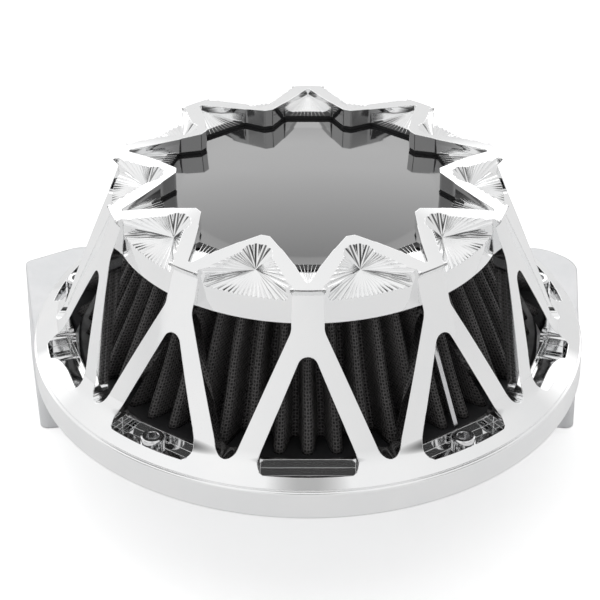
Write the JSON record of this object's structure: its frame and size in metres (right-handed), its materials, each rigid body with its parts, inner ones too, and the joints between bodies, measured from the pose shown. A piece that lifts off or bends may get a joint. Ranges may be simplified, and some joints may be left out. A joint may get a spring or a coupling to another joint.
{
  "type": "air filter",
  "caption": "Round motorcycle air filter: tapered pleated element on a backing plate with breather ears, under a chromed cage cover with a dark lens.",
  "frame": {"origin": "centre of the throttle bore on the rear mounting face", "axes": "+Z along the bore axis, out through the cover; +Y towards the breather ears; +X to the right seen from the side the lens faces with the ears at the top"},
  "size_m": [0.2047, 0.1914, 0.1129],
  "materials": {
    "cast_alloy": "satin, light grey",
    "machined_alloy": "machined",
    "black_rubber": "matt",
    "brass": "machined",
    "bright_steel": "bright",
    "moulded_cap": "matt moulded polyurethane",
    "filter_cotton": "oiled gauze",
    "black_mesh": "coated woven mesh",
    "screen_steel": "dull",
    "chrome": "mirror polished",
    "smoked_lens": "high gloss",
    "black_steel": "satin black",
    "chrome_screw": "bright"
  },
  "bodies": {
    "base": {"backing_plate": "cast_alloy", "velocity_stack": "machined_alloy", "throttle_gasket": "black_rubber", "breather_seals": "black_rubber", "breather_nozzles": "brass", "thread_inserts": "bright_steel", "filter_posts": "bright_steel"},
    "filter": {"filter_lower_cap": "moulded_cap", "pleated_media": "filter_cotton", "outer_mesh": "black_mesh", "inner_screen": "screen_steel", "seam_clip": "bright_steel", "filter_upper_cap": "moulded_cap", "filter_top_plate": "screen_steel", "filter_washers": "bright_steel", "filter_screws": "bright_steel"},
    "cover": {"cover": "chrome", "lens_gasket": "black_rubber", "lens": "smoked_lens", "lens_retainer": "black_steel", "retainer_screws": "bright_steel"},
    "cover_screws": {"cover_screws": "chrome_screw"}
  },
  "joints": [
    {"name": "filter_lift", "type": "slide", "parent": "base", "child": "filter", "axis": [0, 0, 1], "range_m": [0, 0.06]},
    {"name": "cover_lift", "type": "slide", "parent": "filter", "child": "cover", "axis": [0, 0, 1], "range_m": [0, 0.07]},
    {"name": "screw_removal", "type": "slide", "parent": "cover", "child": "cover_screws", "axis": [0, 0, 1], "range_m": [0, 0.03]}
  ]
}
